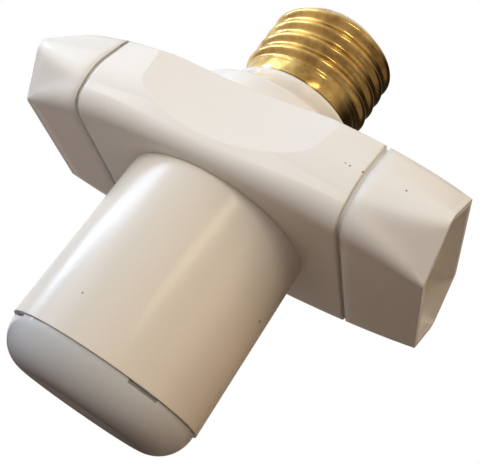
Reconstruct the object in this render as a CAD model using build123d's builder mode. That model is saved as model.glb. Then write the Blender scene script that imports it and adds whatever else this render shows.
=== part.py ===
from build123d import *
from functools import lru_cache
from math import atan2, cos, hypot, radians, sin, tan
import os

# Lamp socket adapter: a screw cap above, a hexagonal crossbar with a plug recess in each end,
# and a built-in lamp below. Millimetres, +Z up along the cap, X along the crossbar.
# The origin is on the cap's axis, where the cap's skirt sits on the collar.

# Screw cap of the common household size
thread_pitch = 3.63
thread_turns = 4
thread_crest_radius = 13.1
thread_depth = 1.0
thread_lead_in = 0.45
skirt_radius = 13.2
skirt_height = 4.4
cap_wall = 0.5
cap_lip_radius = 10.9
cap_lip_rise = 0.6
insulator_flange_radius = 11.3
insulator_flange_height = 0.5
insulator_tip_radius = 6.0
insulator_cone_height = 1.9
insulator_root_depth = 3.0
contact_head_radius = 4.6
contact_head_height = 1.7
contact_edge_radius = 0.9
contact_shank_radius = 1.6
contact_shank_length = 7.5

# Collar between the crossbar and the cap
collar_height = 10.4
collar_radius = 19.9
collar_shoulder_drop = 6.9
collar_edge_radius = 1.2
collar_flare_sag = 0.5
seat_margin = 0.7
seat_lip_height = 0.6
neck_height = 7.0
neck_wall = 1.8

# Crossbar: its length, height and half widths at the middle, at the grooves and at the mouths
bar_length = 87.6
bar_height = 18.5
groove_span = 56.4
groove_width = 1.0
groove_depth = 0.6
middle_top_half = 22.8
middle_ridge_half = 24.4
middle_base_half = 23.0
middle_ridge_drop = 9.7
groove_top_half = 20.4
groove_ridge_half = 23.4
groove_base_half = 21.2
groove_ridge_drop = 10.0
mouth_top_half = 14.6
mouth_ridge_half = 22.5
mouth_base_half = 14.0
mouth_ridge_drop = 9.2

# Corner radii of those three sections, the least radius inside the walls, and the most of a slanted
# side that a ridge's rounding may take
middle_top_radius = 1.6
middle_ridge_radius = 14.0
middle_base_radius = 3.4
groove_top_radius = 1.6
groove_ridge_radius = 12.0
groove_base_radius = 5.0
mouth_top_radius = 1.0
mouth_ridge_radius = 2.4
mouth_base_radius = 1.4
inner_corner_radius = 0.6
ridge_side_share = 0.45

# Finger scoops in both long sides: large hollow rounds that lean outwards to the ridge
scoop_radius = 125.0
scoop_lean = 13.5
scoop_ledge = 0.3

# Walls and fits of the mouldings
housing_wall = 2.0
shell_wall = 1.4
spigot_wall = 1.3
spigot_length = 5.0
floor_thickness = 2.5
fit_gap = 0.15

# Two-pin plug holes and the brass behind them
pin_spacing = 19.0
pin_hole_radius = 2.4
sleeve_bore_radius = 2.05
sleeve_wall = 0.5
sleeve_length = 12.0
sleeve_slot = 1.0
tail_length = 5.0
tail_width = 4.0
tail_thickness = 0.5
rail_thickness = 1.0
carrier_thickness = 4.0
carrier_window_half = 5.0

# Wires
lead_radius = 0.9
lead_bend = 4.0
neutral_joint_rise = 7.5
lamp_lead_x = 5.0
lamp_lead_drop = 5.0
lamp_lead_bend = 2.2
lamp_lead_tail = 3.0
led_lead_radius = 0.5
led_lead_spacing = 3.0
led_lead_length = 4.0

# Lamp tube and diffuser
tube_rim_radius = 19.95
tube_draft = 0.25
tube_length = 36.7
tube_wall = 1.6
tube_web = 2.0
lamp_spigot_radius = 14.5
lamp_spigot_wall = 1.6
lamp_spigot_lip = 1.4
diffuser_radius = 19.5
diffuser_height = 7.4
diffuser_edge_radius = 7.1
diffuser_wall = 1.4
diffuser_skirt_height = 5.5
notch_width = 6.2
notch_height = 0.7
notch_depth = 1.0
notch_count = 4
rib_thickness = 4.0
rib_inner_radius = 12.0
rib_slot_depth = 1.2

# Lamp parts
spreader_thickness = 1.5
spreader_hole_radius = 3.0
led_board_radius = 16.5
led_board_thickness = 1.0
led_count = 12
led_ring_radius = 10.5
led_length = 3.5
led_width = 2.8
led_height = 0.7
screw_radius = 1.0
screw_head_radius = 1.8
screw_head_height = 1.2
screw_depth = 4.0
screw_circle_radius = 14.2
driver_thickness = 1.2
driver_height = 21.0
driver_foot_gap = 0.3
part_gap = 0.05
capacitor_radius = 4.0
capacitor_length = 12.0
capacitor_edge = 0.5
capacitor_x = -6.5
capacitor_rise = 12.0
inductor_radius = 3.8
inductor_core_radius = 2.4
inductor_height = 7.0
inductor_flange = 1.2
inductor_x = 6.0
inductor_rise = 9.0
rectifier_length = 6.0
rectifier_width = 4.5
rectifier_height = 2.4
rectifier_x = -5.0
rectifier_rise = 8.0
resistor_radius = 1.3
resistor_length = 6.0
resistor_x = 3.0
resistor_rise = 12.0

# Heights along the cap's axis
bar_top = -collar_height
bar_base = bar_top - bar_height
socket_axis_z = bar_top - bar_height / 2
tube_rim_z = bar_base - tube_length
diffuser_end_z = tube_rim_z - diffuser_height
spreader_base_z = tube_rim_z + diffuser_skirt_height
spreader_top_z = spreader_base_z + spreader_thickness
led_face_z = spreader_base_z - led_board_thickness
thread_base_z = skirt_height + thread_lead_in
thread_top_z = thread_base_z + thread_turns * thread_pitch
cap_lip_z = thread_top_z + cap_lip_rise
insulator_top_z = cap_lip_z + insulator_flange_height + insulator_cone_height
contact_base_z = insulator_top_z - contact_shank_length

# Places along the crossbar
mouth_x = bar_length / 2
floor_x = groove_span / 2
seam_x = floor_x - groove_width / 2
shell_x = floor_x + groove_width / 2
floor_back_x = floor_x - floor_thickness
spigot_end_x = seam_x - spigot_length
sleeve_front_x = floor_back_x - fit_gap
sleeve_rear_x = sleeve_front_x - sleeve_length
carrier_front_x = spigot_end_x - fit_gap
carrier_back_x = carrier_front_x - carrier_thickness

# Radii and offsets that several pieces share
thread_mid_radius = thread_crest_radius - thread_depth / 2
thread_root_radius = thread_crest_radius - thread_depth
cap_bore_radius = thread_root_radius - cap_wall
neck_radius = cap_bore_radius - fit_gap
neck_bore_radius = neck_radius - neck_wall
seat_radius = skirt_radius + seat_margin
collar_bore_radius = collar_radius - housing_wall
spigot_inset = housing_wall + fit_gap
spigot_bore_inset = spigot_inset + spigot_wall
scoop_top_half = collar_radius + scoop_ledge
sleeve_radius = sleeve_bore_radius + sleeve_wall
tail_base_z = socket_axis_z - sleeve_radius
rail_base_z = tail_base_z - rail_thickness
tube_bore_radius = tube_rim_radius - tube_draft - tube_wall
skirt_fit_radius = tube_bore_radius - fit_gap
diffuser_skirt_bore = skirt_fit_radius - diffuser_wall
driver_half_width = rib_inner_radius + rib_slot_depth - fit_gap
driver_base_z = spreader_top_z + driver_foot_gap
driver_top_z = driver_base_z + driver_height
driver_face_y = driver_thickness / 2 + part_gap

sides = {"left": -1, "right": 1}
poles = {"live": -1, "neutral": 1}

# Sections of the crossbar: place along X, then top, ridge and base half widths, the ridge's drop
# below the top, and the top, ridge and base corner radii
middle_section = (
    middle_top_half, middle_ridge_half, middle_base_half, middle_ridge_drop,
    middle_top_radius, middle_ridge_radius, middle_base_radius,
)
groove_section = (
    groove_top_half, groove_ridge_half, groove_base_half, groove_ridge_drop,
    groove_top_radius, groove_ridge_radius, groove_base_radius,
)
mouth_section = (
    mouth_top_half, mouth_ridge_half, mouth_base_half, mouth_ridge_drop,
    mouth_top_radius, mouth_ridge_radius, mouth_base_radius,
)
bar_sections = (
    (-mouth_x, mouth_section),
    (-floor_x, groove_section),
    (0, middle_section),
    (floor_x, groove_section),
    (mouth_x, mouth_section),
)


def save(part, name):
    """Label a finished piece and write it to its own file."""
    part.label = name
    export_step(part, f"parts/{name}.step")


def ridge_limit(top_half, ridge_half, base_half, ridge_drop):
    """The largest ridge radius that the two slanted sides of a section have room for."""
    base_drop = bar_height - ridge_drop
    turn = atan2(ridge_half - top_half, ridge_drop) + atan2(ridge_half - base_half, base_drop)
    side = min(hypot(ridge_half - top_half, ridge_drop), hypot(ridge_half - base_half, base_drop))
    return ridge_side_share * side / abs(tan(turn / 2))


@lru_cache(maxsize=None)
def bar_form(inset):
    """The crossbar's hexagonal form from mouth to mouth, with every side moved inwards by inset."""
    with BuildPart() as form:
        for x, section in bar_sections:
            top_half, ridge_half, base_half, ridge_drop, top_radius, ridge_radius, base_radius = section
            ridge_z = bar_top - ridge_drop
            ridge_radius = min(ridge_radius, ridge_limit(top_half, ridge_half, base_half, ridge_drop))
            with BuildSketch(Plane.YZ.offset(x)) as outline:
                Polygon(
                    (-top_half, bar_top), (-ridge_half, ridge_z), (-base_half, bar_base),
                    (base_half, bar_base), (ridge_half, ridge_z), (top_half, bar_top),
                    align=None,
                )
                if inset:
                    offset(amount=-inset, kind=Kind.INTERSECTION, mode=Mode.REPLACE)
                fillet(outline.vertices().group_by(Axis.Y)[1], max(ridge_radius - inset, inner_corner_radius))
                fillet(outline.vertices().group_by(Axis.Y)[0], max(base_radius - inset, inner_corner_radius))
                fillet(outline.vertices().group_by(Axis.Y)[-1], max(top_radius - inset, inner_corner_radius))
        loft()
    return form.part


def bar_slice(inset, x_from, x_to):
    """The stretch of the inset crossbar form between two planes across X."""
    with BuildPart() as stretch:
        add(bar_form(inset))
        split(bisect_by=Plane.YZ.offset(min(x_from, x_to)), keep=Keep.TOP)
        split(bisect_by=Plane.YZ.offset(max(x_from, x_to)), keep=Keep.BOTTOM)
    return stretch.part


@lru_cache(maxsize=None)
def scoop_rounds(grow):
    """The two leaning cylinders that hollow the long sides, with their radius grown for the inner wall."""
    lean = radians(scoop_lean)
    with BuildPart() as rounds:
        for side in sides.values():
            centre = (0, side * (scoop_top_half + scoop_radius * cos(lean)), bar_top + scoop_radius * sin(lean))
            along = (0, side * sin(lean), -cos(lean))
            with BuildSketch(Plane(origin=centre, x_dir=(1, 0, 0), z_dir=along)):
                Circle(scoop_radius + grow)
            extrude(amount=2 * bar_height, both=True)
    return rounds.part


def revolved(*points):
    """A turned piece from its half outline in radius and height."""
    with BuildPart() as turned:
        with BuildSketch(Plane.XZ):
            Polygon(*points, align=None)
        revolve(axis=Axis.Z)
    return turned.part


def wire_along(points, radius, bend):
    """A wire of round section through the points, with one bend radius at the corners."""
    with BuildPart() as wire:
        with BuildLine() as route:
            FilletPolyline(*points, radius=bend)
        with BuildSketch(Plane(origin=route.line @ 0, z_dir=route.line % 0)):
            Circle(radius)
        sweep()
    return wire.part


os.makedirs("parts", exist_ok=True)

# Cap shell: drawn brass with a plain skirt and a rolled thread, drawn as even rings
with BuildPart() as cap_shell:
    with BuildSketch(Plane.XZ):
        with BuildLine():
            Polyline(
                (cap_bore_radius, 0), (skirt_radius, 0), (skirt_radius, skirt_height),
                (thread_mid_radius, thread_base_z),
            )
            for turn in range(thread_turns):
                root_z = thread_base_z + turn * thread_pitch
                crest_z = root_z + thread_pitch / 2
                ThreePointArc(
                    (thread_mid_radius, root_z),
                    (thread_root_radius, root_z + thread_pitch / 4),
                    (thread_mid_radius, crest_z),
                )
                ThreePointArc(
                    (thread_mid_radius, crest_z),
                    (thread_crest_radius, crest_z + thread_pitch / 4),
                    (thread_mid_radius, root_z + thread_pitch),
                )
            Polyline(
                (thread_mid_radius, thread_top_z), (cap_lip_radius, cap_lip_z),
                (cap_lip_radius, cap_lip_z - cap_wall), (cap_bore_radius, thread_top_z - cap_wall),
                (cap_bore_radius, 0),
            )
        make_face()
    revolve(axis=Axis.Z)
save(cap_shell.part, "cap_shell")

# Cap insulator: trapped in the shell's lip, with a flange and a cone above it
with BuildPart() as cap_insulator:
    add(revolved(
        (contact_shank_radius + fit_gap, cap_lip_z - insulator_root_depth),
        (cap_bore_radius - fit_gap, cap_lip_z - insulator_root_depth),
        (cap_bore_radius - fit_gap, thread_top_z - cap_wall - fit_gap),
        (cap_lip_radius - fit_gap, cap_lip_z - cap_wall - fit_gap),
        (cap_lip_radius - fit_gap, cap_lip_z),
        (insulator_flange_radius, cap_lip_z),
        (insulator_flange_radius, cap_lip_z + insulator_flange_height),
        (insulator_tip_radius, insulator_top_z),
        (contact_shank_radius + fit_gap, insulator_top_z),
    ))
save(cap_insulator.part, "cap_insulator")

# Centre contact: a rivet with a rounded head on the insulator's tip
with BuildPart() as centre_contact:
    add(revolved(
        (0, contact_base_z), (contact_shank_radius, contact_base_z),
        (contact_shank_radius, insulator_top_z), (contact_head_radius, insulator_top_z),
        (contact_head_radius, insulator_top_z + contact_head_height),
        (0, insulator_top_z + contact_head_height),
    ))
    head_rim = centre_contact.edges().filter_by(GeomType.CIRCLE).sort_by(Axis.Z)[-1]
    fillet(head_rim, contact_edge_radius)
save(centre_contact.part, "centre_contact")

# Main housing: the middle of the crossbar with its scoops, hollow and open at both ends,
# moulded in one with the collar and the neck that carries the cap
with BuildPart() as housing_hollow:
    add(bar_slice(housing_wall, -seam_x, seam_x))
    add(scoop_rounds(housing_wall), mode=Mode.SUBTRACT)

with BuildPart() as collar:
    with BuildSketch(Plane.XZ) as collar_outline:
        with BuildLine():
            flare_foot = (collar_radius, -collar_shoulder_drop)
            flare_head = (seat_radius, -seat_lip_height)
            Polyline((collar_radius, bar_top - housing_wall), flare_foot)
            SagittaArc(flare_foot, flare_head, collar_flare_sag)
            Polyline(
                flare_head, (seat_radius, 0), (neck_radius, 0), (neck_radius, neck_height),
                (neck_bore_radius, neck_height), (neck_bore_radius, -housing_wall),
                (collar_bore_radius, -collar_shoulder_drop - housing_wall),
                (collar_bore_radius, bar_top - housing_wall), (collar_radius, bar_top - housing_wall),
            )
        make_face()
        fillet(collar_outline.vertices().sort_by_distance(flare_foot)[0], collar_edge_radius)
    revolve(axis=Axis.Z)

with BuildPart() as main_housing:
    add(bar_slice(0, -seam_x, seam_x))
    add(scoop_rounds(0), mode=Mode.SUBTRACT)
    add(housing_hollow.part, mode=Mode.SUBTRACT)
    with Locations((0, 0, bar_top)):
        Cylinder(collar_bore_radius, 2 * housing_wall, mode=Mode.SUBTRACT)
    with Locations((0, 0, bar_base)):
        Cylinder(lamp_spigot_radius + fit_gap, 2 * housing_wall + fit_gap, mode=Mode.SUBTRACT)
    add(collar.part)
save(main_housing.part, "main_housing")

# Socket shells: hexagonal ends with a plug recess, a floor with two pin holes,
# and a spigot that plugs into the housing and leaves a fine groove between them
for side_name, side in sides.items():
    with BuildPart() as spigot:
        add(bar_slice(spigot_inset, side * spigot_end_x, side * seam_x))
        add(scoop_rounds(spigot_inset), mode=Mode.SUBTRACT)
        add(bar_slice(spigot_bore_inset, side * spigot_end_x, side * floor_back_x), mode=Mode.SUBTRACT)

    with BuildPart() as socket_shell:
        add(bar_slice(0, side * shell_x, side * mouth_x))
        add(bar_slice(groove_depth, side * seam_x, side * shell_x))
        add(bar_slice(shell_wall, side * floor_x, side * mouth_x), mode=Mode.SUBTRACT)
        add(spigot.part)
        with Locations((side * floor_x, 0, socket_axis_z)):
            with GridLocations(0, pin_spacing, 1, 2):
                Cylinder(
                    pin_hole_radius, 2 * floor_thickness + fit_gap, rotation=(0, 90, 0), mode=Mode.SUBTRACT
                )
    save(socket_shell.part, f"{side_name}_socket_shell")

# Contact carriers: insulating plates behind the spigots, bored for the sleeves
for side_name, side in sides.items():
    with BuildPart() as contact_carrier:
        add(bar_slice(spigot_inset, side * carrier_back_x, side * carrier_front_x))
        add(scoop_rounds(spigot_inset), mode=Mode.SUBTRACT)
        with BuildSketch(Plane.YZ.offset(side * carrier_back_x)):
            with Locations((0, socket_axis_z)):
                with GridLocations(pin_spacing, 0, 2, 1):
                    Circle(sleeve_radius + fit_gap)
                SlotOverall(2 * carrier_window_half, carrier_window_half)
        extrude(amount=side * carrier_thickness, mode=Mode.SUBTRACT)
    save(contact_carrier.part, f"{side_name}_contact_carrier")

# Contact sleeves: slotted brass tubes behind the pin holes, each with a flat tail
for side_name, side in sides.items():
    for pole_name, pole in poles.items():
        pole_y = pole * pin_spacing / 2
        with BuildPart() as contact_sleeve:
            with BuildSketch(Plane.YZ.offset(side * sleeve_rear_x)):
                with Locations((pole_y, socket_axis_z)):
                    Circle(sleeve_radius)
                    Circle(sleeve_bore_radius, mode=Mode.SUBTRACT)
                with Locations((pole_y, socket_axis_z + sleeve_radius)):
                    Rectangle(sleeve_slot, 2 * sleeve_radius, mode=Mode.SUBTRACT)
            extrude(amount=side * sleeve_length)
            with Locations((side * sleeve_rear_x, pole_y, tail_base_z + tail_thickness / 2)):
                Box(2 * tail_length, tail_width, tail_thickness)
            with Locations((side * sleeve_front_x, pole_y, socket_axis_z)):
                Cylinder(
                    sleeve_bore_radius, 2 * sleeve_length, rotation=(0, 90, 0), mode=Mode.SUBTRACT
                )
        save(contact_sleeve.part, f"{side_name}_{pole_name}_sleeve")

# Contact rails: brass strips under the tails, one for each pole, from end to end
for pole_name, pole in poles.items():
    with BuildPart() as contact_rail:
        with BuildSketch(Plane.XY.offset(rail_base_z)):
            with Locations((0, pole * pin_spacing / 2)):
                SlotOverall(2 * sleeve_rear_x, tail_width)
        extrude(amount=rail_thickness)
    save(contact_rail.part, f"{pole_name}_rail")

# Leads from the cap to the rails: the live one from the rivet, the neutral one from the shell
live_y = -pin_spacing / 2
neutral_y = pin_spacing / 2
neck_lead_y = neck_bore_radius - lead_radius - fit_gap
with BuildPart() as live_lead:
    add(wire_along(
        (
            (0, 0, contact_base_z), (0, 0, neck_height), (0, live_y, bar_top),
            (0, live_y, tail_base_z),
        ),
        lead_radius, lead_bend,
    ))
save(live_lead.part, "live_lead")

with BuildPart() as neutral_lead:
    shell_lead_y = cap_bore_radius - lead_radius - part_gap
    add(wire_along(
        (
            (0, shell_lead_y, neck_height + neutral_joint_rise),
            (0, shell_lead_y, neck_height + neutral_joint_rise / 2),
            (0, neck_lead_y, neck_height + lead_radius), (0, neck_lead_y, -housing_wall),
            (0, neutral_y, bar_top), (0, neutral_y, tail_base_z),
        ),
        lead_radius, lead_radius,
    ))
save(neutral_lead.part, "neutral_lead")

# Leads from the rails down to the driver board
for pole_name, pole in poles.items():
    lead_face_y = pole * (driver_face_y + lead_radius)
    with BuildPart() as lamp_lead:
        add(wire_along(
            (
                (lamp_lead_x, pole * pin_spacing / 2, rail_base_z),
                (lamp_lead_x, pole * pin_spacing / 2, rail_base_z - lamp_lead_drop),
                (lamp_lead_x, lead_face_y, driver_top_z),
                (lamp_lead_x, lead_face_y, driver_top_z - lamp_lead_tail),
            ),
            lead_radius, lamp_lead_bend,
        ))
    save(lamp_lead.part, f"lamp_{pole_name}_lead")

# Lamp tube: a drafted white cylinder with a web and a spigot above, and four ribs inside
with BuildPart() as lamp_tube:
    tube_top_radius = tube_rim_radius - tube_draft
    spigot_top_z = bar_base + housing_wall + lamp_spigot_lip
    lamp_bore_radius = lamp_spigot_radius - lamp_spigot_wall
    add(revolved(
        (tube_bore_radius, tube_rim_z), (tube_rim_radius, tube_rim_z),
        (tube_top_radius, bar_base), (lamp_spigot_radius, bar_base),
        (lamp_spigot_radius, spigot_top_z), (lamp_bore_radius, spigot_top_z),
        (lamp_bore_radius, bar_base - tube_web), (tube_bore_radius, bar_base - tube_web),
    ))
    with BuildSketch(Plane.XY.offset(bar_base - tube_web)):
        with PolarLocations((rib_inner_radius + tube_bore_radius + tube_wall / 2) / 2, 4):
            Rectangle(tube_bore_radius + tube_wall / 2 - rib_inner_radius, rib_thickness)
    extrude(amount=spreader_top_z - bar_base + tube_web)
    with BuildSketch(Plane.XY.offset(spreader_top_z)):
        Rectangle(2 * (rib_inner_radius + rib_slot_depth), driver_thickness + 2 * fit_gap)
    extrude(amount=driver_foot_gap + driver_height + fit_gap, mode=Mode.SUBTRACT)
    with BuildSketch(Plane.XY.offset(spreader_top_z)):
        with GridLocations(0, 2 * screw_circle_radius, 1, 2):
            Circle(screw_radius + part_gap)
    extrude(amount=screw_depth, mode=Mode.SUBTRACT)
save(lamp_tube.part, "lamp_tube")

# Diffuser: a milky cap with a flat rounded end, a skirt inside the tube and four prising notches
with BuildPart() as diffuser:
    with BuildSketch(Plane.XZ) as diffuser_outline:
        Polygon(
            (0, diffuser_end_z), (diffuser_radius, diffuser_end_z), (diffuser_radius, tube_rim_z),
            (skirt_fit_radius, tube_rim_z), (skirt_fit_radius, spreader_base_z),
            (diffuser_skirt_bore, spreader_base_z), (diffuser_skirt_bore, diffuser_end_z + diffuser_wall),
            (0, diffuser_end_z + diffuser_wall),
            align=None,
        )
        outer_corner = diffuser_outline.vertices().sort_by_distance((diffuser_radius, diffuser_end_z))[0]
        fillet(outer_corner, diffuser_edge_radius)
        inner_corner = diffuser_outline.vertices().sort_by_distance(
            (diffuser_skirt_bore, diffuser_end_z + diffuser_wall)
        )[0]
        fillet(inner_corner, diffuser_edge_radius - diffuser_wall)
    revolve(axis=Axis.Z)
    with BuildSketch(Plane.XY.offset(tube_rim_z)):
        with PolarLocations(diffuser_radius, notch_count, start_angle=180 / notch_count):
            Rectangle(2 * notch_depth, notch_width)
    extrude(amount=-notch_height, mode=Mode.SUBTRACT)
save(diffuser.part, "diffuser")

# Heat spreader: an aluminium disc between the ribs and the diffuser's skirt
with BuildPart() as heat_spreader:
    with BuildSketch(Plane.XY.offset(spreader_base_z)):
        Circle(skirt_fit_radius)
        Circle(spreader_hole_radius, mode=Mode.SUBTRACT)
        with GridLocations(0, 2 * screw_circle_radius, 1, 2):
            Circle(screw_radius + part_gap, mode=Mode.SUBTRACT)
    extrude(amount=spreader_thickness)
save(heat_spreader.part, "heat_spreader")

# LED board: a round metal-backed board under the spreader
with BuildPart() as led_board:
    with BuildSketch(Plane.XY.offset(led_face_z)):
        Circle(led_board_radius)
        with GridLocations(0, 2 * screw_circle_radius, 1, 2):
            Circle(screw_radius + part_gap, mode=Mode.SUBTRACT)
    extrude(amount=led_board_thickness)
save(led_board.part, "led_board")

# LED chips: a ring of small light sources that face the diffuser
with BuildPart() as led_chips:
    with BuildSketch(Plane.XY.offset(led_face_z)):
        with PolarLocations(led_ring_radius, led_count, start_angle=180 / led_count):
            Rectangle(led_length, led_width)
    extrude(amount=-led_height)
save(led_chips.part, "led_chips")

# Board screws: two small pan heads through the board and the spreader into the ribs
with BuildPart() as board_screws:
    with BuildSketch(Plane.XY.offset(led_face_z)):
        with GridLocations(0, 2 * screw_circle_radius, 1, 2):
            Circle(screw_head_radius)
    extrude(amount=-screw_head_height)
    with BuildSketch(Plane.XY.offset(led_face_z)):
        with GridLocations(0, 2 * screw_circle_radius, 1, 2):
            Circle(screw_radius)
    extrude(amount=spreader_top_z - led_face_z + screw_depth - fit_gap)
save(board_screws.part, "board_screws")

# Driver board: stands in the slots of two ribs, above the spreader
with BuildPart() as driver_board:
    with BuildSketch(Plane.XY.offset(driver_base_z)):
        Rectangle(2 * driver_half_width, driver_thickness)
    extrude(amount=driver_height)
save(driver_board.part, "driver_board")

# Parts on the driver board: capacitor and inductor on one face, rectifier and resistor on the other
with BuildPart() as driver_capacitor:
    with BuildSketch(Plane.XY.offset(driver_base_z + capacitor_rise - capacitor_length / 2)):
        with Locations((capacitor_x, driver_face_y + capacitor_radius)):
            Circle(capacitor_radius)
    extrude(amount=capacitor_length)
    chamfer(driver_capacitor.edges().filter_by(GeomType.CIRCLE), capacitor_edge)
save(driver_capacitor.part, "driver_capacitor")

with BuildPart() as driver_inductor:
    with BuildSketch(Plane.XZ.offset(-driver_face_y)):
        with Locations((inductor_x, driver_base_z + inductor_rise)):
            Circle(inductor_radius)
    extrude(amount=-inductor_height)
    with BuildSketch(Plane.XZ.offset(-driver_face_y - inductor_flange)):
        with Locations((inductor_x, driver_base_z + inductor_rise)):
            Circle(inductor_radius)
            Circle(inductor_core_radius, mode=Mode.SUBTRACT)
    extrude(amount=2 * inductor_flange - inductor_height, mode=Mode.SUBTRACT)
save(driver_inductor.part, "driver_inductor")

with BuildPart() as driver_rectifier:
    with BuildSketch(Plane.XZ.offset(driver_face_y)):
        with Locations((rectifier_x, driver_base_z + rectifier_rise)):
            Rectangle(rectifier_length, rectifier_width)
    extrude(amount=rectifier_height)
save(driver_rectifier.part, "driver_rectifier")

with BuildPart() as fuse_resistor:
    with BuildSketch(Plane.XY.offset(driver_base_z + resistor_rise - resistor_length / 2)):
        with Locations((resistor_x, -driver_face_y - resistor_radius)):
            Circle(resistor_radius)
    extrude(amount=resistor_length)
save(fuse_resistor.part, "fuse_resistor")

# LED leads: two short wires from the driver board through the spreader's hole
with BuildPart() as led_leads:
    with BuildSketch(Plane.XY.offset(spreader_base_z)):
        with Locations((0, driver_face_y + led_lead_radius)):
            with GridLocations(led_lead_spacing, 0, 2, 1):
                Circle(led_lead_radius)
    extrude(amount=spreader_thickness + led_lead_length)
save(led_leads.part, "led_leads")
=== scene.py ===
"""Lamp socket adapter: the screw cap, the finishes and the stage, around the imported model."""

from math import cos, pi, radians, sin, tau

import bpy
from mathutils import Matrix, Vector


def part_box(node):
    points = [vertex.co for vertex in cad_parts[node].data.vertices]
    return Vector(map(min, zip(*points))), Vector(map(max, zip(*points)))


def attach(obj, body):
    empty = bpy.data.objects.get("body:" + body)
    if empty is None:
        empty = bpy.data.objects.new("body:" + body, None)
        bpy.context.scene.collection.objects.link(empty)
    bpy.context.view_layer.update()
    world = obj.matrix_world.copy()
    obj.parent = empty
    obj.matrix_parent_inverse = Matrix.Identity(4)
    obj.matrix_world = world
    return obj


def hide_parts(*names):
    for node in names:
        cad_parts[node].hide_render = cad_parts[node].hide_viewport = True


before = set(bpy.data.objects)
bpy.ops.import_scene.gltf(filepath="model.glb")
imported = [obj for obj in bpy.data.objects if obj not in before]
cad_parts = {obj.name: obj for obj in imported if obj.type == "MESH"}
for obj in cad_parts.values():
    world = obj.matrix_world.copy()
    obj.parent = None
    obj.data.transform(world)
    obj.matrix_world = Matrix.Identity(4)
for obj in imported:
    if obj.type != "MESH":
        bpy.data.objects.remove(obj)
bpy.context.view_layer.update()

bl_info = {
    "name": "Lamp socket adapter",
    "version": (1, 0, 0),
    "blender": (4, 5, 0),
    "location": "3D View > Sidebar > Adapter",
    "description": "Models the threaded cap and dresses a lamp socket adapter with two plug recesses",
    "category": "Object",
}

MM = 0.001
IMAGE_WIDTH = 480
SENSOR_WIDTH = 36.0
MERGE_DISTANCE = 0.001 * MM
LAMP_DISTANCE = 0.7

# the point that the lamps face
MIDDLE = Vector((0, 0, -30 * MM))

# dark grains in the white mouldings: place and radius in millimetres
SPECKS = (
    (-2.6, -19.7, -58.4, 0.26),
    (24.3, -23.1, -18.6, 0.18),
    (25.2, -23.0, -18.7, 0.24),
    (27.6, -22.8, -18.7, 0.28),
    (35.2, -22.1, -18.3, 0.26),
    (-14.4, -11.9, -65.6, 0.5),
    (19.8, -1.6, -43.2, 0.45),
)

cap_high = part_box("cap_shell")[1]
lamp_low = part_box("diffuser")[0]
rim_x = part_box("right_socket_shell")[1].x


def linear(hex_colour):
    """Linear RGBA of an sRGB hex colour."""
    channels = [int(hex_colour[i:i + 2], 16) / 255 for i in (1, 3, 5)]
    return [c / 12.92 if c <= 0.04045 else ((c + 0.055) / 1.055) ** 2.4 for c in channels] + [1.0]


def colour_property(name, description, hex_colour):
    """A colour that a user may change, given by its sRGB hex value."""
    return bpy.props.FloatVectorProperty(
        name=name, description=description, default=linear(hex_colour),
        subtype="COLOR", size=4, min=0, max=1,
    )


def length_property(name, description, default):
    """A length in metres that a user may change."""
    return bpy.props.FloatProperty(
        name=name, description=description, default=default, min=0,
        precision=5, subtype="DISTANCE", unit="LENGTH",
    )


def watts_property(name, description, default):
    """A lamp's power that a user may change."""
    return bpy.props.FloatProperty(
        name=name, description=description, default=default, min=0, subtype="POWER", unit="POWER"
    )


class AdapterCapSizes(bpy.types.PropertyGroup):
    """Sizes of the drawn brass screw cap."""

    skirt_radius: length_property("Skirt radius", "Radius of the plain skirt", cap_high.x)
    skirt_height: length_property("Skirt height", "Height of the plain skirt", 3.5 * MM)
    crest_radius: length_property("Crest radius", "Radius over the thread's crests", 13.1 * MM)
    groove_depth: length_property("Groove depth", "Depth from crest to root", 1.0 * MM)
    pitch: length_property("Pitch", "Rise of the thread in one turn", 3.63 * MM)
    thread_start: length_property("Thread start", "Height where the rolled thread begins", 3.8 * MM)
    thread_end: length_property("Thread end", "Height where the rolled thread ends", 19.37 * MM)
    lip_radius: length_property("Lip radius", "Radius of the lip that holds the insulator", 10.9 * MM)
    lip_height: length_property("Lip height", "Height of the lip", cap_high.z)
    foot_radius: length_property("Foot radius", "Rounding where the skirt's foot turns in", 0.4 * MM)
    wall: length_property("Wall", "Thickness of the brass", 0.5 * MM)
    start_angle: bpy.props.FloatProperty(
        name="Start angle", description="Turn of the thread about the cap's axis", default=radians(144),
        subtype="ANGLE", unit="ROTATION",
    )
    columns: bpy.props.IntProperty(
        name="Columns", description="Faces around the cap", default=192, min=24, max=512
    )
    rows: bpy.props.IntProperty(
        name="Rows", description="Rows of faces up the thread", default=104, min=16, max=400
    )


class AdapterColours(bpy.types.PropertyGroup):
    """Colours of the adapter's materials."""

    housing: colour_property("Housing", "White of the housing and the socket shells", "#F2F0EC")
    housing_shade: colour_property("Housing shade", "Slightly yellower cloudiness in it", "#EEEAE3")
    tube: colour_property("Tube", "Ivory white of the lamp tube", "#E3DCD1")
    tube_shade: colour_property("Tube shade", "Slightly yellower cloudiness in it", "#DED5C8")
    speck: colour_property("Speck", "Dark grains caught in the moulding", "#7D6C5C")
    opal: colour_property("Opal", "Milky white of the diffuser", "#C9CACB")
    brass: colour_property("Brass", "Yellow of the drawn brass", "#E6C67C")
    tarnish: colour_property("Tarnish", "Browner film on the brass", "#8F6E3C")
    # painted shade: a dark line at the skirt's foot, for the shadow where the collar meets the cap
    foot_shade: colour_property("Foot shade", "Dark line of dirt at the skirt's foot", "#33261A")


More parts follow.
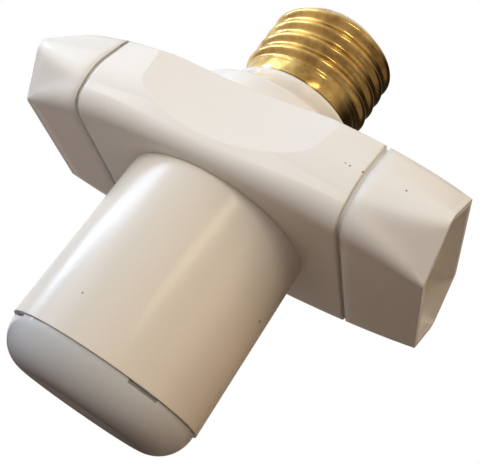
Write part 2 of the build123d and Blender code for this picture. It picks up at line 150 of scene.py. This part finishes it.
class AdapterStage(bpy.types.PropertyGroup):
    """Places and levels of the stage."""

    camera_place: bpy.props.FloatVectorProperty(
        name="Camera place", description="Where the camera stands", size=3, subtype="XYZ", unit="LENGTH",
        default=(0.06100, -0.12791, -0.07914),
    )
    camera_target: bpy.props.FloatVectorProperty(
        name="Camera target", description="A point in the middle of the picture", size=3, subtype="XYZ",
        unit="LENGTH", default=(0.00516, 0.00161, -0.02809),
    )
    camera_up: bpy.props.FloatVectorProperty(
        name="Camera up", description="Direction of the picture's upper edge", size=3, subtype="DIRECTION",
        default=(-0.4114, -0.4822, 0.7735),
    )
    focal_pixels: bpy.props.FloatProperty(
        name="Focal length", description="Focal length in pixels of the picture", default=757.6, min=1
    )
    floor_radius: length_property("Floor radius", "Radius of the round floor", 0.6)
    floor_colour: colour_property("Floor", "Pale warm grey of the floor", "#E4E1DC")
    floor_bounce: colour_property("Floor bounce", "Browner light that the floor sends back", "#82766F")
    floor_glow: bpy.props.FloatProperty(
        name="Floor glow", description="Light that the floor's left sends up",
        default=1.5, min=0,
    )
    floor_pale: bpy.props.FloatProperty(
        name="Floor pale", description="How light the camera sees the floor beside the lamps' light",
        default=0.45, min=0,
    )
    floor_shine: bpy.props.FloatProperty(
        name="Floor shine", description="How light shiny surfaces see the floor in front",
        default=1.0, min=0,
    )
    room_white: colour_property("Room white", "White side of the room", "#FFFFFF")
    room_tan: colour_property("Room tan", "Warm side of the room", "#CDBEAF")
    room_dark: colour_property("Room dark", "Dim side of the room", "#2C2724")
    ambient: bpy.props.FloatProperty(
        name="Ambient", description="Share of the room's light that reaches matt surfaces",
        default=0.06, min=0,
    )
    front_watts: watts_property("Front", "Power of the broad light in front", 3.0)
    left_watts: watts_property("Left", "Power of the broad light on the left", 0.95)
    window_watts: watts_property("Window", "Power of the slanted window light", 0.95)
    pane_watts: watts_property("Pane", "Power of the window's small low pane", 0.06)
    low_watts: watts_property("Low", "Power of the cool light low on the left", 1.1)
    lamp_watts: watts_property("Lamp", "Power of the small warm lamp", 0.45)
    right_watts: watts_property("Right", "Power of the weak warm light on the right", 1.9)
    back_watts: watts_property("Back", "Power of the broad light behind the object", 1.6)


def add_node(tree, kind, inputs=None, **settings):
    """Add one node with its settings, and set or link its inputs by name or number."""
    node = tree.nodes.new(kind)
    for name, value in settings.items():
        setattr(node, name, value)
    for key, value in (inputs or {}).items():
        if isinstance(value, bpy.types.NodeSocket):
            tree.links.new(value, node.inputs[key])
        else:
            node.inputs[key].default_value = value
    return node


def new_material(name):
    """An empty node material with its output and Object coordinates."""
    material = bpy.data.materials.new(name)
    material.use_nodes = True
    tree = material.node_tree
    tree.nodes.clear()
    output = add_node(tree, "ShaderNodeOutputMaterial")
    place = add_node(tree, "ShaderNodeTexCoord").outputs["Object"]
    return material, tree, output, place


def dress(material, *nodes):
    """Give CAD nodes a material in their own slots."""
    for name in nodes:
        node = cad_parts[name]
        if not node.material_slots:
            node.data.materials.append(material)
        for slot in node.material_slots:
            slot.material = material


def deselect_all():
    """Leave nothing selected, so that the next operators act on the new piece alone."""
    bpy.ops.object.select_all(action="DESELECT")


def white_moulding(name, base, shade, speck, edge_radius, ridge_radius=None):
    """White plastic from a polished mould: satin gloss, faint clouds, fine orange peel and dark grains."""
    material, tree, output, place = new_material(name)
    cloud_size = 22 * MM
    peel_size = 0.7 * MM
    peel_depth = 0.03 * MM
    cloud = add_node(
        tree, "ShaderNodeTexNoise",
        {"Vector": place, "Scale": 1 / cloud_size, "Detail": 3.0, "Roughness": 0.55},
    )
    tint = add_node(
        tree, "ShaderNodeMix", {0: cloud.outputs["Fac"], 6: base, 7: shade}, data_type="RGBA"
    )
    specked = add_node(
        tree, "ShaderNodeMix",
        {0: mark_share(tree, place, SPECKS), 6: tint.outputs[2], 7: speck}, data_type="RGBA",
    )
    # the gloss stays below 0.27: a pattern across that roughness shows as lines once the render is denoised
    gloss = add_node(
        tree, "ShaderNodeMapRange",
        {"Value": cloud.outputs["Fac"], "From Min": 0.3, "From Max": 0.7, "To Min": 0.21, "To Max": 0.26},
    )
    peel = add_node(
        tree, "ShaderNodeTexNoise",
        {"Vector": place, "Scale": 1 / peel_size, "Detail": 2.0, "Roughness": 0.5},
    )
    edges = add_node(tree, "ShaderNodeBevel", {"Radius": edge_radius}, samples=8).outputs["Normal"]
    if ridge_radius:
        edges = soften_ridges(tree, place, edges, ridge_radius)
    bump = add_node(
        tree, "ShaderNodeBump",
        {"Height": peel.outputs["Fac"], "Strength": 0.6, "Distance": peel_depth, "Normal": edges},
    )
    shader = add_node(
        tree, "ShaderNodeBsdfPrincipled",
        {
            "Base Color": specked.outputs[2], "Roughness": gloss.outputs["Result"], "IOR": 1.53,
            "Normal": bump.outputs["Normal"],
        },
    )
    tree.links.new(shader.outputs["BSDF"], output.inputs["Surface"])
    return material


def soften_ridges(tree, place, edges, ridge_radius):
    """A wide soft shading on a shell's ridges, which ends before the thin rim of its mouth."""
    soft_end = rim_x - 2.5 * MM
    rim_start = rim_x - 0.8 * MM
    ridges = add_node(tree, "ShaderNodeBevel", {"Radius": ridge_radius}, samples=16)
    along = add_node(tree, "ShaderNodeSeparateXYZ", {"Vector": place}).outputs["X"]
    outward = add_node(tree, "ShaderNodeMath", {0: along}, operation="ABSOLUTE")
    rim = add_node(
        tree, "ShaderNodeMapRange",
        {"Value": outward.outputs[0], "From Min": soft_end, "From Max": rim_start},
    )
    return add_node(
        tree, "ShaderNodeMix",
        {0: rim.outputs["Result"], 4: ridges.outputs["Normal"], 5: edges}, data_type="VECTOR",
    ).outputs[1]


def mark_share(tree, place, marks):
    """How far a point lies in one of some small round marks, each a place and a radius in millimetres."""
    # share of a mark's radius that is fully dark
    core = 0.4
    share = 0.0
    for x, y, z, radius in marks:
        away = add_node(
            tree, "ShaderNodeVectorMath", {0: place, 1: (x * MM, y * MM, z * MM)}, operation="DISTANCE"
        )
        spot = add_node(
            tree, "ShaderNodeMapRange",
            {
                "Value": away.outputs["Value"], "From Min": core * radius * MM, "From Max": radius * MM,
                "To Min": 1.0, "To Max": 0.0,
            },
        )
        share = add_node(
            tree, "ShaderNodeMath", {0: share, 1: spot.outputs["Result"]}, operation="MAXIMUM"
        ).outputs[0]
    return share


def opal_polycarbonate(colours):
    """Opal polycarbonate: smooth and glossy, with light that spreads inside the milky wall."""
    material, tree, output, place = new_material("opal_polycarbonate")
    flow_size = 14 * MM
    light_reach = 2.0 * MM
    flow = add_node(tree, "ShaderNodeTexNoise", {"Vector": place, "Scale": 1 / flow_size, "Detail": 2.0})
    gloss = add_node(
        tree, "ShaderNodeMapRange",
        {"Value": flow.outputs["Fac"], "From Min": 0.3, "From Max": 0.7, "To Min": 0.08, "To Max": 0.13},
    )
    shader = add_node(
        tree, "ShaderNodeBsdfPrincipled",
        {
            "Base Color": colours.opal, "Roughness": gloss.outputs["Result"], "IOR": 1.58,
            "Subsurface Weight": 0.4, "Subsurface Radius": (1.0, 0.95, 1.0), "Subsurface Scale": light_reach,
        },
    )
    tree.links.new(shader.outputs["BSDF"], output.inputs["Surface"])
    return material


def drawn_brass(colours):
    """Bright drawn brass: yellow metal with fine tool rings, a patchy brown film and a dark line of painted
    shade at the skirt's foot.
    """
    material, tree, output, place = new_material("drawn_brass")
    film_size = 5 * MM
    # the tools leave finer rings: these are as coarse as they need to be to show
    ring_spacing = 0.35 * MM
    ring_depth = 0.02 * MM
    ring_stretch = 0.02
    # painted shade: the brass darkens towards the skirt's foot, for the shadow where the collar meets it
    foot_shade_full = 0.5 * MM
    foot_shade_end = 0.9 * MM
    film = add_node(
        tree, "ShaderNodeTexNoise",
        {"Vector": place, "Scale": 1 / film_size, "Detail": 4.0, "Roughness": 0.6},
    )
    share = add_node(
        tree, "ShaderNodeMapRange",
        {"Value": film.outputs["Fac"], "From Min": 0.4, "From Max": 0.7, "To Min": 0.0, "To Max": 0.85},
    )
    tint = add_node(
        tree, "ShaderNodeMix",
        {0: share.outputs["Result"], 6: colours.brass, 7: colours.tarnish}, data_type="RGBA",
    )
    height = add_node(tree, "ShaderNodeSeparateXYZ", {"Vector": place}).outputs["Z"]
    # painted shade: the colour turns dark near the skirt's foot, where the collar shades it
    foot = add_node(
        tree, "ShaderNodeMapRange",
        {"Value": height, "From Min": foot_shade_full, "From Max": foot_shade_end, "To Min": 0.85, "To Max": 0.0},
    )
    foot_shaded = add_node(
        tree, "ShaderNodeMix",
        {0: foot.outputs["Result"], 6: tint.outputs[2], 7: colours.foot_shade}, data_type="RGBA",
    )
    gloss = add_node(
        tree, "ShaderNodeMapRange",
        {"Value": film.outputs["Fac"], "From Min": 0.3, "From Max": 0.75, "To Min": 0.13, "To Max": 0.25},
    )
    around = add_node(
        tree, "ShaderNodeMapping", {"Vector": place, "Scale": (ring_stretch, ring_stretch, 1.0)}
    )
    rings = add_node(
        tree, "ShaderNodeTexNoise",
        {"Vector": around.outputs["Vector"], "Scale": 1 / ring_spacing, "Detail": 2.0},
    )
    bump = add_node(
        tree, "ShaderNodeBump",
        {"Height": rings.outputs["Fac"], "Strength": 0.15, "Distance": ring_depth},
    )
    shader = add_node(
        tree, "ShaderNodeBsdfPrincipled",
        {
            "Base Color": foot_shaded.outputs[2], "Metallic": 1.0, "Roughness": gloss.outputs["Result"],
            "Normal": bump.outputs["Normal"],
        },
    )
    tree.links.new(shader.outputs["BSDF"], output.inputs["Surface"])
    return material


def plain_finish(name, base, shade, roughness, metallic=0.0, mottle=3 * MM):
    """A plain hidden finish: its colour with a slight mottle, such as a wire's cover or a board's mask."""
    material, tree, output, place = new_material(name)
    noise = add_node(tree, "ShaderNodeTexNoise", {"Vector": place, "Scale": 1 / mottle, "Detail": 3.0})
    tint = add_node(
        tree, "ShaderNodeMix",
        {0: noise.outputs["Fac"], 6: linear(base), 7: linear(shade)}, data_type="RGBA",
    )
    shader = add_node(
        tree, "ShaderNodeBsdfPrincipled",
        {"Base Color": tint.outputs[2], "Metallic": metallic, "Roughness": roughness},
    )
    tree.links.new(shader.outputs["BSDF"], output.inputs["Surface"])
    return material


def matt_paper(stage):
    """Matt paper: even and pale to the camera, with a browner glow on what stands on it."""
    material, tree, output, place = new_material("matt_paper")
    path = add_node(tree, "ShaderNodeLightPath")
    seen = path.outputs["Is Camera Ray"]
    colour = add_node(
        tree, "ShaderNodeMix", {0: seen, 6: stage.floor_bounce, 7: stage.floor_colour}, data_type="RGBA"
    )
    paper = add_node(tree, "ShaderNodeBsdfDiffuse", {"Color": colour.outputs[2]})
    sent_up = floor_light(tree, place, path.outputs["Is Glossy Ray"], stage)
    level = add_node(
        tree, "ShaderNodeMapRange", {"Value": seen, "To Min": sent_up, "To Max": stage.floor_pale}
    )
    glow = add_node(
        tree, "ShaderNodeEmission", {"Color": colour.outputs[2], "Strength": level.outputs["Result"]}
    )
    lit = add_node(tree, "ShaderNodeAddShader", {0: paper.outputs["BSDF"], 1: glow.outputs["Emission"]})
    clear = add_node(tree, "ShaderNodeBsdfTransparent")
    under = add_node(tree, "ShaderNodeNewGeometry").outputs["Backfacing"]
    hidden = add_node(tree, "ShaderNodeMath", {0: under, 1: seen}, operation="MULTIPLY")
    surface = add_node(
        tree, "ShaderNodeMixShader",
        {0: hidden.outputs[0], 1: lit.outputs["Shader"], 2: clear.outputs["BSDF"]},
    )
    tree.links.new(surface.outputs["Shader"], output.inputs["Surface"])
    return material


def floor_light(tree, place, glossy, stage):
    """Light that the floor sends up: strong on the left, weak around the lamp, with a shine in front."""
    left_end = -200 * MM
    right_start = 30 * MM
    right_glow = 0.3
    ring_radius = 48 * MM
    ring_core = 10 * MM
    ring_fade = 45 * MM
    ring_glow = 0.1
    front_full = -100 * MM
    front_end = -30 * MM
    spot = add_node(tree, "ShaderNodeSeparateXYZ", {"Vector": place})
    pool = add_node(
        tree, "ShaderNodeMapRange",
        {
            "Value": spot.outputs["X"], "From Min": left_end, "From Max": right_start,
            "To Min": stage.floor_glow, "To Max": right_glow,
        },
    )
    # the crossbar keeps the light off a ring of floor around the lamp
    level_place = add_node(
        tree, "ShaderNodeVectorMath", {0: place, 1: (1.0, 1.0, 0.0)}, operation="MULTIPLY"
    )
    away = add_node(
        tree, "ShaderNodeVectorMath", {0: level_place.outputs["Vector"]}, operation="LENGTH"
    )
    past_ring = add_node(
        tree, "ShaderNodeMath", {0: away.outputs["Value"], 1: ring_radius}, operation="SUBTRACT"
    )
    from_ring = add_node(tree, "ShaderNodeMath", {0: past_ring.outputs[0]}, operation="ABSOLUTE")
    shade = add_node(
        tree, "ShaderNodeMapRange",
        {
            "Value": from_ring.outputs[0], "From Min": ring_core, "From Max": ring_fade,
            "To Min": ring_glow, "To Max": 1.0,
        },
    )
    shaded = add_node(
        tree, "ShaderNodeMath",
        {0: pool.outputs["Result"], 1: shade.outputs["Result"]}, operation="MULTIPLY",
    )
    front = add_node(
        tree, "ShaderNodeMapRange",
        {
            "Value": spot.outputs["Y"], "From Min": front_full, "From Max": front_end,
            "To Min": stage.floor_shine, "To Max": 0.0,
        },
    )
    return add_node(
        tree, "ShaderNodeMath",
        {0: glossy, 1: front.outputs["Result"], 2: shaded.outputs[0]}, operation="MULTIPLY_ADD",
    ).outputs[0]


class ADAPTER_OT_screw_cap(bpy.types.Operator):
    """Model the brass cap with its rolled right-hand thread"""

    bl_idname = "adapter.screw_cap"
    bl_label = "Screw cap"

    def execute(self, context):
        cap = context.scene.adapter_cap
        deselect_all()
        lip_steps = 6
        sharpest_smooth = radians(40)
        foot_inset = 0.3 * cap.foot_radius
        shoulder_height = 0.15 * MM
        shoulder_inset = 0.03 * MM
        row_height = (cap.thread_end - cap.thread_start) / cap.rows
        band = [cap.thread_start + row * row_height for row in range(cap.rows + 1)]
        neck_radius = cap.crest_radius - cap.groove_depth
        lip_rings = [
            (
                cap.lip_radius + (neck_radius - cap.lip_radius) * cos(step / lip_steps * pi / 2),
                cap.thread_end + (cap.lip_height - cap.thread_end) * sin(step / lip_steps * pi / 2),
            )
            for step in range(1, lip_steps + 1)
        ]
        outline = [
            (cap.skirt_radius - cap.foot_radius, 0),
            (cap.skirt_radius - foot_inset, foot_inset),
            (cap.skirt_radius, cap.foot_radius),
            (cap.skirt_radius, cap.skirt_height - shoulder_height),
            (cap.skirt_radius - shoulder_inset, cap.skirt_height),
            *((neck_radius + cap.groove_depth * self.thread_share(height, cap), height) for height in band),
            *lip_rings,
        ]
        bpy.ops.mesh.primitive_circle_add(vertices=cap.columns, radius=outline[0][0])
        shell = context.object
        shell.name = "screw_cap"
        bpy.ops.object.mode_set(mode="EDIT")
        bpy.ops.mesh.select_all(action="SELECT")
        for (radius, height), (next_radius, next_height) in zip(outline, outline[1:]):
            bpy.ops.mesh.extrude_region_move(
                TRANSFORM_OT_translate={"value": (0, 0, next_height - height)}
            )
            if next_radius != radius:
                scale = next_radius / radius
                bpy.ops.transform.resize(value=(scale, scale, 1), center_override=(0, 0, next_height))
        bpy.ops.object.mode_set(mode="OBJECT")
        self.roll_thread(shell, cap)
        bpy.ops.object.mode_set(mode="EDIT")
        bpy.ops.mesh.select_all(action="SELECT")
        bpy.ops.mesh.remove_doubles(threshold=MERGE_DISTANCE)
        bpy.ops.mesh.normals_make_consistent(inside=False)
        bpy.ops.object.mode_set(mode="OBJECT")
        wall = shell.modifiers.new("wall", "SOLIDIFY")
        wall.thickness = cap.wall
        wall.offset = -1
        bpy.ops.object.modifier_apply(modifier=wall.name)
        bpy.ops.object.shade_smooth_by_angle(angle=sharpest_smooth)
        shell.data.materials.append(drawn_brass(context.scene.adapter_colours))
        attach(shell, "root")
        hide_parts("cap_shell")
        return {"FINISHED"}

    def thread_share(self, height, cap):
        """How full the thread still is near its upper end, where it runs out into the cap's neck."""
        run_out = 0.4 * cap.pitch
        reach = min((cap.thread_end - height) / run_out, 1)
        return 0.5 - 0.5 * cos(pi * reach)

    def roll_thread(self, shell, cap):
        """Press the helical groove into the band, shallower at both ends, where the rollers leave it."""
        groove = shell.vertex_groups.new(name="groove")
        run_in = 0.3 * cap.pitch
        for corner in shell.data.vertices:
            x, y, z = corner.co
            if not cap.thread_start <= z <= cap.thread_end:
                continue
            turn = Vector((x, y)).angle_signed(Vector((1, 0))) / tau
            phase = (z - cap.thread_start) / cap.pitch - turn - cap.start_angle / tau
            reach = min((z - cap.thread_start) / run_in, 1)
            depth = (0.5 - 0.5 * cos(tau * phase)) * (0.5 - 0.5 * cos(pi * reach))
            groove.add([corner.index], depth * self.thread_share(z, cap), "REPLACE")
        roll = shell.modifiers.new("rolled_thread", "DISPLACE")
        roll.vertex_group = groove.name
        roll.mid_level = 0
        roll.strength = -cap.groove_depth
        bpy.ops.object.modifier_apply(modifier=roll.name)
        shell.vertex_groups.clear()


class ADAPTER_OT_cap_tip(bpy.types.Operator):
    """Finish the insulator and the centre contact at the cap's tip"""

    bl_idname = "adapter.cap_tip"
    bl_label = "Cap tip"

    def execute(self, context):
        # urea moulding: smooth ivory, a little duller than the housing
        dress(plain_finish("pressed_urea", "#E9E4D8", "#DDD5C4", 0.35), "cap_insulator")
        # pressed brass: plain yellow metal with soft reflections
        dress(plain_finish("pressed_brass", "#CDA758", "#B58C42", 0.28, metallic=1.0), "centre_contact")
        return {"FINISHED"}


class ADAPTER_OT_mouldings(bpy.types.Operator):
    """Finish the housing, the socket shells and the lamp tube in white plastic"""

    bl_idname = "adapter.mouldings"
    bl_label = "Mouldings"

    def execute(self, context):
        colours = context.scene.adapter_colours
        abs_white = (colours.housing, colours.housing_shade, colours.speck)
        pbt_ivory = (colours.tube, colours.tube_shade, colours.speck)
        housing_abs = white_moulding("housing_abs", *abs_white, edge_radius=0.5 * MM)
        shell_abs = white_moulding("shell_abs", *abs_white, edge_radius=0.4 * MM, ridge_radius=4.0 * MM)
        tube_pbt = white_moulding("tube_pbt", *pbt_ivory, edge_radius=0.3 * MM)
        dress(housing_abs, "main_housing")
        dress(shell_abs, "left_socket_shell", "right_socket_shell")
        dress(tube_pbt, "lamp_tube")
        return {"FINISHED"}


class ADAPTER_OT_diffuser(bpy.types.Operator):
    """Finish the milky end of the lamp"""

    bl_idname = "adapter.diffuser"
    bl_label = "Diffuser"

    def execute(self, context):
        dress(opal_polycarbonate(context.scene.adapter_colours), "diffuser")
        return {"FINISHED"}


class ADAPTER_OT_inner_parts(bpy.types.Operator):
    """Finish the contacts, wires, boards and driver parts inside"""

    bl_idname = "adapter.inner_parts"
    bl_label = "Inner parts"

    def execute(self, context):
        # spring brass: bright yellow strip, browner in places
        spring_brass = plain_finish("spring_brass", "#C9A75E", "#B08A45", 0.3, metallic=1.0)
        # nylon: dull off-white
        nylon_plate = plain_finish("nylon_plate", "#D2D0C8", "#C4C1B6", 0.5)
        for side in ("left", "right"):
            dress(spring_brass, f"{side}_live_sleeve", f"{side}_neutral_sleeve")
            dress(nylon_plate, f"{side}_contact_carrier")
        dress(spring_brass, "live_rail", "neutral_rail")
        # extruded wire covers: even colour with a low sheen
        dress(plain_finish("brown_pvc", "#5C3520", "#4E2C1A", 0.45), "live_lead", "lamp_live_lead")
        dress(plain_finish("blue_pvc", "#24498C", "#1D3C76", 0.45), "neutral_lead", "lamp_neutral_lead")
        dress(plain_finish("white_pvc", "#DAD9D4", "#CCCAC3", 0.45), "led_leads")
        # bare metals: grey, with blurred reflections
        dress(plain_finish("rolled_aluminium", "#C4C6C8", "#B2B4B7", 0.35, metallic=1.0), "heat_spreader")
        dress(plain_finish("zinc_plated_steel", "#B4B6B8", "#9C9EA1", 0.32, metallic=1.0), "board_screws")
        # solder masks: thin lacquer, half glossy
        dress(plain_finish("white_solder_mask", "#E4E5E2", "#D8D9D4", 0.4), "led_board")
        dress(plain_finish("green_solder_mask", "#2C6139", "#245030", 0.4), "driver_board")
        # driver parts and chips: yellow gel, black shrunk sleeve, dull ferrite and a tan coat
        dress(plain_finish("phosphor_gel", "#EFCF4E", "#E2BB36", 0.3), "led_chips")
        black_sleeve = plain_finish("black_sleeve", "#141416", "#1D1D20", 0.3)
        dress(black_sleeve, "driver_capacitor", "driver_rectifier")
        dress(plain_finish("ferrite", "#26241F", "#1C1A18", 0.6), "driver_inductor")
        dress(plain_finish("resistor_coat", "#A5855F", "#947450", 0.45), "fuse_resistor")
        return {"FINISHED"}


class ADAPTER_OT_stage(bpy.types.Operator):
    """Set the floor, the room's light, the lamps and the camera"""

    bl_idname = "adapter.stage"
    bl_label = "Stage"

    def execute(self, context):
        stage = context.scene.adapter_stage
        self.lay_floor(context, stage)
        self.light_room(context, stage)
        self.hang_lamps(context, stage)
        self.set_camera(context, stage)
        context.scene.view_settings.view_transform = "Standard"
        return {"FINISHED"}

    def lay_floor(self, context, stage):
        """A pale round floor under the lamp's end, which the camera looks through from below."""
        deselect_all()
        gap = 0.2 * MM
        sides = 128
        bpy.ops.mesh.primitive_circle_add(
            vertices=sides, radius=stage.floor_radius, fill_type="NGON", location=(0, 0, lamp_low.z - gap)
        )
        floor = context.object
        floor.name = "floor"
        bpy.ops.object.transform_apply(location=True)
        floor.data.materials.append(matt_paper(stage))

    def light_room(self, context, stage):
        """A white background, which shiny surfaces see as a room: white left, tan ahead, dim right."""
        world = bpy.data.worlds.new("room")
        context.scene.world = world
        world.use_nodes = True
        tree = world.node_tree
        tree.nodes.clear()
        output = add_node(tree, "ShaderNodeOutputWorld")
        way = add_node(tree, "ShaderNodeTexCoord").outputs["Generated"]
        white_share = self.side_share(tree, way, azimuth=185, rise=0.3, start=0.2, full=0.6)
        dim_share = self.side_share(tree, way, azimuth=48, rise=0.1, start=0.3, full=0.9)
        warm = add_node(
            tree, "ShaderNodeMix", {0: dim_share, 6: stage.room_tan, 7: stage.room_dark}, data_type="RGBA"
        )
        colour = add_node(
            tree, "ShaderNodeMix", {0: white_share, 6: warm.outputs[2], 7: stage.room_white}, data_type="RGBA"
        )
        path = add_node(tree, "ShaderNodeLightPath")
        seen = add_node(
            tree, "ShaderNodeMath",
            {0: path.outputs["Is Camera Ray"], 1: path.outputs["Is Transmission Ray"]}, operation="MAXIMUM",
        )
        shown = add_node(
            tree, "ShaderNodeMath",
            {0: seen.outputs[0], 1: path.outputs["Is Glossy Ray"]}, operation="MAXIMUM",
        )
        backdrop = add_node(
            tree, "ShaderNodeMix",
            {0: seen.outputs[0], 6: colour.outputs[2], 7: stage.room_white}, data_type="RGBA",
        )
        strength = add_node(
            tree, "ShaderNodeMapRange", {"Value": shown.outputs[0], "To Min": stage.ambient, "To Max": 1.0}
        )
        background = add_node(
            tree, "ShaderNodeBackground",
            {"Color": backdrop.outputs[2], "Strength": strength.outputs["Result"]},
        )
        tree.links.new(background.outputs["Background"], output.inputs["Surface"])

    def side_share(self, tree, way, azimuth, rise, start, full):
        """How far a direction in the room turns towards one of its sides."""
        turn = radians(azimuth)
        side = Vector((cos(turn), sin(turn), rise)).normalized()
        facing = add_node(tree, "ShaderNodeVectorMath", {0: way, 1: side}, operation="DOT_PRODUCT")
        return add_node(
            tree, "ShaderNodeMapRange",
            {"Value": facing.outputs["Value"], "From Min": start, "From Max": full},
            interpolation_type="SMOOTHSTEP",
        ).outputs["Result"]

    def hang_lamps(self, context, stage):
        """Cool window light from the left, warm light from the right, and soft light from front and back."""
        # broad soft light in front
        self.hang_lamp(
            context, "front", azimuth=-95, elevation=6, size=(0.5, 0.4),
            watts=stage.front_watts, colour="#FFFDFA", reflected=False,
        )
        # broad cool light on the left
        self.hang_lamp(
            context, "left", azimuth=-143, elevation=22, size=(0.4, 0.6),
            watts=stage.left_watts, colour="#E6F1FF",
        )
        # slanted window that draws the long streak on the tube
        self.hang_lamp(
            context, "window", azimuth=-165, elevation=15, size=(0.1, 0.4),
            watts=stage.window_watts, colour="#CFE4FF", distance=0.6, roll=-68,
        )
        # the window's small low pane
        self.hang_lamp(
            context, "pane", azimuth=-174, elevation=3, size=(0.04, 0.1),
            watts=stage.pane_watts, colour="#E6F1FF",
        )
        # cool light low on the left, for the slopes that face down
        self.hang_lamp(
            context, "low", azimuth=-166, elevation=3, size=(0.4, 0.25),
            watts=stage.low_watts, colour="#CFE4FF", reflected=False,
        )
        # small warm lamp that glints along the tube
        self.hang_lamp(
            context, "lamp", azimuth=-62, elevation=18, size=(0.07, 0.26),
            watts=stage.lamp_watts, colour="#FFF2CB", roll=-40,
        )
        # weak warm light on the right
        self.hang_lamp(
            context, "right", azimuth=-14, elevation=24, size=(0.4, 0.4),
            watts=stage.right_watts, colour="#FFE0BC", reflected=False,
        )
        # broad light behind the object, for its back and the floor
        self.hang_lamp(
            context, "back", azimuth=85, elevation=38, size=(0.5, 0.5),
            watts=stage.back_watts, colour="#FFF8F0", reflected=False,
        )

    def hang_lamp(
        self, context, name, azimuth, elevation, size, watts, colour,
        distance=LAMP_DISTANCE, roll=0, reflected=True,
    ):
        """One flat light that faces the object and may stay out of its reflections."""
        deselect_all()
        turn = radians(azimuth)
        level = radians(elevation)
        way = Vector((cos(level) * cos(turn), cos(level) * sin(turn), sin(level)))
        facing = (-way).to_track_quat("-Z", "Y").to_matrix() @ Matrix.Rotation(radians(roll), 3, "Z")
        bpy.ops.object.light_add(
            type="AREA", location=MIDDLE + way * distance, rotation=facing.to_euler()
        )
        lamp = context.object
        lamp.name = name
        lamp.data.shape = "RECTANGLE"
        lamp.data.size, lamp.data.size_y = size
        lamp.data.energy = watts
        lamp.data.color = linear(colour)[:3]
        lamp.visible_glossy = reflected

    def set_camera(self, context, stage):
        """The camera at the photograph's place, with its roll and focal length."""
        deselect_all()
        place = Vector(stage.camera_place)
        ahead = (Vector(stage.camera_target) - place).normalized()
        right = ahead.cross(Vector(stage.camera_up)).normalized()
        upward = right.cross(ahead)
        turn = Matrix((right, upward, -ahead)).transposed()
        bpy.ops.object.camera_add(location=place, rotation=turn.to_euler())
        camera = context.object
        camera.name = "photo_camera"
        camera.data.sensor_width = SENSOR_WIDTH
        camera.data.lens = stage.focal_pixels * SENSOR_WIDTH / IMAGE_WIDTH
        camera.data.clip_start = 10 * MM
        context.scene.camera = camera


class ADAPTER_PT_panel(bpy.types.Panel):
    """The adapter's pieces and values in the sidebar"""

    bl_idname = "ADAPTER_PT_panel"
    bl_label = "Lamp socket adapter"
    bl_space_type = "VIEW_3D"
    bl_region_type = "UI"
    bl_category = "Adapter"

    def draw(self, context):
        for operator in OPERATORS:
            self.layout.operator(operator.bl_idname)
        for group in GROUPS:
            values = getattr(context.scene, group)
            box = self.layout.box()
            for name in values.__annotations__:
                box.prop(values, name)


GROUPS = {
    "adapter_cap": AdapterCapSizes,
    "adapter_colours": AdapterColours,
    "adapter_stage": AdapterStage,
}
OPERATORS = (
    ADAPTER_OT_screw_cap,
    ADAPTER_OT_cap_tip,
    ADAPTER_OT_mouldings,
    ADAPTER_OT_diffuser,
    ADAPTER_OT_inner_parts,
    ADAPTER_OT_stage,
)


def register():
    """Register the value groups, the operators and the panel."""
    for name, group in GROUPS.items():
        bpy.utils.register_class(group)
        setattr(bpy.types.Scene, name, bpy.props.PointerProperty(type=group))
    for operator in OPERATORS:
        bpy.utils.register_class(operator)
    bpy.utils.register_class(ADAPTER_PT_panel)


def unregister():
    """Take everything out again."""
    bpy.utils.unregister_class(ADAPTER_PT_panel)
    for operator in reversed(OPERATORS):
        bpy.utils.unregister_class(operator)
    for name, group in GROUPS.items():
        delattr(bpy.types.Scene, name)
        bpy.utils.unregister_class(group)


def main():
    """Build every piece in order."""
    register()
    bpy.ops.adapter.screw_cap()
    bpy.ops.adapter.cap_tip()
    bpy.ops.adapter.mouldings()
    bpy.ops.adapter.diffuser()
    bpy.ops.adapter.inner_parts()
    bpy.ops.adapter.stage()


if __name__ == "__main__":
    main()
